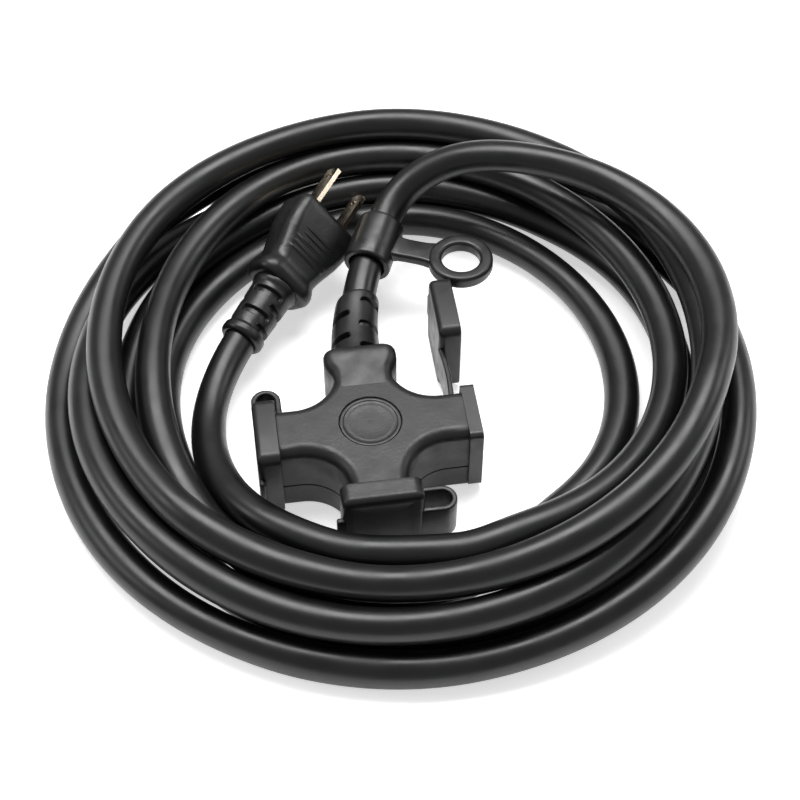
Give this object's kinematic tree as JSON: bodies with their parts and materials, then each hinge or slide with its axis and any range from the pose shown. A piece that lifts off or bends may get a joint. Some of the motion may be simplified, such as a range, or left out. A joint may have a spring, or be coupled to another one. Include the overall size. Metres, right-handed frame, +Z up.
{
  "type": "extension cord",
  "caption": "Outdoor extension cord lying coiled, with a cross-shaped outlet tap, hinged rubber outlet caps, a ring hanger on the lead and a moulded two-blade plug.",
  "frame": {"origin": "middle of the tap's underside, on the surface it lies on", "axes": "+Z up out of the tap's top face; +Y towards the end where the cord enters the tap; +X towards the outlet whose cap is open"},
  "size_m": [0.215, 0.215, 0.0432],
  "materials": {
    "tap_rubber": "matt, finely textured black rubber",
    "disc_rubber": "fine sparkle-eroded black rubber",
    "outlet_resin": "matt black resin",
    "carrier_resin": "plain moulded resin",
    "contact_brass": "bright rolled brass",
    "wire_black": "smooth",
    "wire_white": "smooth",
    "crimp_tin": "tinned",
    "relief_rubber": "matt black rubber",
    "cap_rubber": "matt black rubber",
    "strap_rubber": "matt black rubber",
    "hanger_rubber": "satin black rubber",
    "plug_rubber": "satin black rubber",
    "bridge_resin": "matt dark resin",
    "blade_metal": "nickel over brass, lightly rubbed",
    "cord_sheath": "satin black rubber sheath"
  },
  "bodies": {
    "root": {"tap_upper_shell": "tap_rubber", "tap_lower_shell": "tap_rubber", "tap_centre_disc": "disc_rubber", "outlet_right": "outlet_resin", "outlet_left": "outlet_resin", "outlet_front": "outlet_resin", "contact_carrier": "carrier_resin", "upper_bus_bar": "contact_brass", "lower_bus_bar": "contact_brass", "upper_contacts": "contact_brass", "lower_contacts": "contact_brass", "tap_wire_line": "wire_black", "tap_wire_neutral": "wire_white", "tap_crimps": "crimp_tin", "tap_strain_relief": "relief_rubber", "strap_root_right": "strap_rubber", "strap_root_left": "strap_rubber", "strap_root_front": "strap_rubber", "plug_body": "plug_rubber", "plug_bridge": "bridge_resin", "line_blade": "blade_metal", "neutral_blade": "blade_metal", "plug_wire_line": "wire_black", "plug_wire_neutral": "wire_white", "plug_crimps": "crimp_tin", "plug_strain_relief": "relief_rubber", "tap_lead": "cord_sheath", "cord_coil": "cord_sheath", "plug_lead": "cord_sheath"},
    "cap_right": {"cap_right": "cap_rubber", "strap_end_right": "strap_rubber"},
    "cap_left": {"cap_left": "cap_rubber", "strap_end_left": "strap_rubber"},
    "cap_front": {"cap_front": "cap_rubber", "strap_end_front": "strap_rubber"},
    "hanger": {"hanger_sleeve": "hanger_rubber", "hanger_strap": "hanger_rubber", "hanger_ring": "hanger_rubber"}
  },
  "joints": [
    {"name": "cap_right_fold", "type": "hinge", "parent": "root", "child": "cap_right", "pos_m": [0.02915, 0.0206, 0.0115], "axis": [0, 0, 1], "range_deg": [-180, 0]},
    {"name": "cap_left_fold", "type": "hinge", "parent": "root", "child": "cap_left", "pos_m": [-0.02915, 0.0206, 0.0115], "axis": [0, 0, 1], "range_deg": [-2.5, 0]},
    {"name": "cap_front_fold", "type": "hinge", "parent": "root", "child": "cap_front", "pos_m": [0.0206, -0.02515, 0.0115], "axis": [0, 0, 1], "range_deg": [0, 6]},
    {"name": "hanger_turn", "type": "hinge", "parent": "root", "child": "hanger", "pos_m": [0.0109, 0.0761, 0.019], "axis": [0.4111, 0.9022, 0.1305], "range_deg": [-60, 24]}
  ]
}
